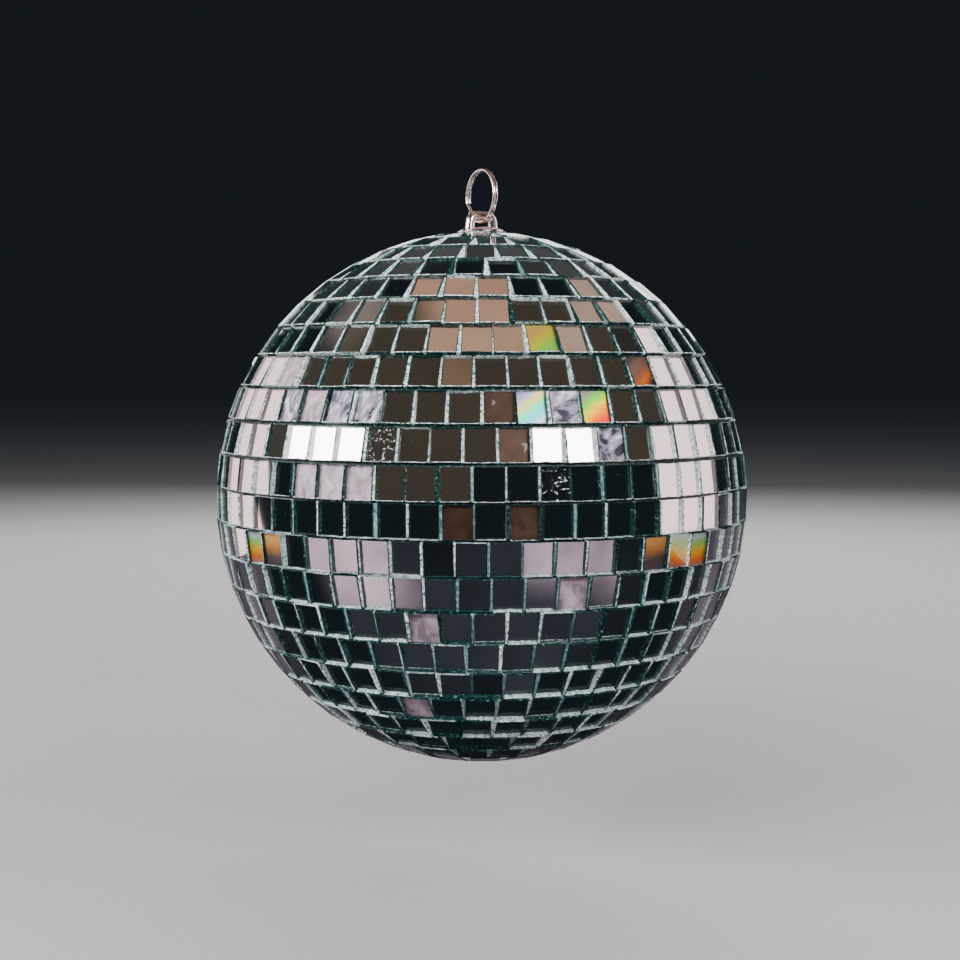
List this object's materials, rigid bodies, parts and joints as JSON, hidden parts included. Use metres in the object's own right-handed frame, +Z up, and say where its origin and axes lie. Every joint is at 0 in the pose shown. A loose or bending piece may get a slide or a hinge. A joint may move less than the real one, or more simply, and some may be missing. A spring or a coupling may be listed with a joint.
{
  "type": "mirror ball",
  "caption": "Mirror ball of cut glass tiles in level rows on a hollow core, hung by a split ring that turns on a wire eye on the top dish.",
  "frame": {"origin": "inside top of the split ring, where a hook bears", "axes": "+Z up along the ball's axis, +X along the bar of the wire eye; the ring lies in the YZ plane"},
  "size_m": [0.1999, 0.1999, 0.2237],
  "materials": {
    "mirror_glass": "silvered glass, cut edges",
    "tile_adhesive": "gritty set adhesive",
    "core_plastic": "moulded",
    "nickel_plate": "bright nickel, slightly warm",
    "zinc_plate": "zinc plated"
  },
  "bodies": {
    "ring": {"split_ring": "nickel_plate"},
    "ball": {"core_upper_half": "core_plastic", "core_lower_half": "core_plastic", "adhesive_upper": "tile_adhesive", "adhesive_lower": "tile_adhesive", "cap_dish": "nickel_plate", "wire_eye": "nickel_plate", "hanger_bolt": "nickel_plate", "spreader_plate": "zinc_plate", "spring_washer": "zinc_plate", "hex_nut": "zinc_plate", "pole_tiles_top": "mirror_glass", "tile_row_upper_11": "mirror_glass", "tile_row_upper_10": "mirror_glass", "tile_row_upper_09": "mirror_glass", "tile_row_upper_08": "mirror_glass", "tile_row_upper_07": "mirror_glass", "tile_row_upper_06": "mirror_glass", "tile_row_upper_05": "mirror_glass", "tile_row_upper_04": "mirror_glass", "tile_row_upper_03": "mirror_glass", "tile_row_upper_02": "mirror_glass", "tile_row_upper_01": "mirror_glass", "tile_row_equator": "mirror_glass", "tile_row_lower_01": "mirror_glass", "tile_row_lower_02": "mirror_glass", "tile_row_lower_03": "mirror_glass", "tile_row_lower_04": "mirror_glass", "tile_row_lower_05": "mirror_glass", "tile_row_lower_06": "mirror_glass", "tile_row_lower_07": "mirror_glass", "tile_row_lower_08": "mirror_glass", "tile_row_lower_09": "mirror_glass", "tile_row_lower_10": "mirror_glass", "tile_row_lower_11": "mirror_glass", "pole_tiles_bottom": "mirror_glass"}
  },
  "joints": [
    {"name": "ball_swing", "type": "hinge", "parent": "ring", "child": "ball", "pos_m": [0, 0, -0.01665], "axis": [1, 0, 0], "range_deg": [-38, 38]}
  ]
}
